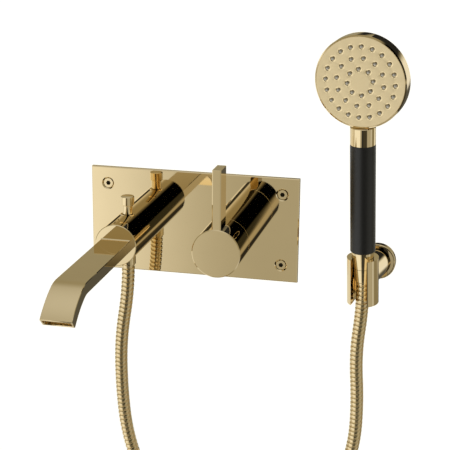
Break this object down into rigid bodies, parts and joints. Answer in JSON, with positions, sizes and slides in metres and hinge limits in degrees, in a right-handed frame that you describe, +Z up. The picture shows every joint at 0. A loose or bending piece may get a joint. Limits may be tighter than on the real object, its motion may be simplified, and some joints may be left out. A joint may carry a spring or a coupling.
{
  "type": "wall mounted bath faucet",
  "caption": "Gold wall mounted bath mixer on a rectangular plate, with a lever handle, a flat curved spout with a diverter, and a round hand shower on its hose in a fork holder.",
  "frame": {"origin": "on the wall, at the middle of the wall plate's back face", "axes": "+X to the right seen from the front, +Z up, +Y into the wall"},
  "size_m": [0.301, 0.2758, 0.5624],
  "materials": {
    "gold": "polished",
    "brass_body": "machined",
    "steel": "plain",
    "black_sleeve": "matt",
    "face_gold": "satin",
    "silicone": "translucent grey",
    "black_rubber": "plain",
    "white_plastic": "plain",
    "hose_metal": "ribbed, polished",
    "tie": "plain"
  },
  "bodies": {
    "root": {"body_screws": "steel", "cartridge": "white_plastic", "cartridge_nut": "steel", "cartridge_seals": "black_rubber", "diverter_bonnet": "gold", "fixing_brackets": "steel", "flow_straightener": "white_plastic", "holder_base": "steel", "holder_flange": "gold", "holder_fork": "gold", "holder_screw": "steel", "hose_coil": "hose_metal", "hose_connector": "gold", "hose_left": "hose_metal", "hose_right": "hose_metal", "hose_tie": "tie", "mixer_sleeve": "gold", "plate_screws": "gold", "plate_seal": "black_rubber", "slip_ring": "white_plastic", "spout_blade": "gold", "spout_body": "gold", "spout_core": "brass_body", "spout_grub_screw": "steel", "spout_seal": "black_rubber", "valve_body": "brass_body", "wall_plate": "gold"},
    "handle": {"handle_shell": "gold", "handle_lever": "gold", "handle_grub_screw": "steel", "cartridge_stem": "steel"},
    "diverter": {"diverter_knob": "gold", "diverter_spindle": "steel", "diverter_plunger": "black_rubber"},
    "hose_end": {"hose_ferrule": "gold"},
    "handset": {"cone_nut": "gold", "end_cone": "gold", "flow_limiter": "white_plastic", "handle_tube": "brass_body", "grip_sleeve": "black_sleeve", "handset_collar": "gold", "head_shell": "gold", "head_face": "face_gold", "spray_nozzles": "silicone", "water_disc": "white_plastic"}
  },
  "joints": [
    {"name": "handle_turn", "type": "hinge", "parent": "root", "child": "handle", "pos_m": [0.043, -0.09, 0.0015], "axis": [0, -1, 0], "range_deg": [0, 80]},
    {"name": "diverter_lift", "type": "slide", "parent": "root", "child": "diverter", "axis": [0, 0, 1], "range_m": [0, 0.008]},
    {"name": "handset_lift", "type": "slide", "parent": "root", "child": "hose_end", "axis": [-0.0278, -0.0906, 0.9955], "range_m": [0, 0.035]},
    {"name": "handset_turn", "type": "hinge", "parent": "hose_end", "child": "handset", "pos_m": [0.16589, -0.04575, -0.0222], "axis": [-0.0278, -0.0906, 0.9955], "continuous": true}
  ]
}
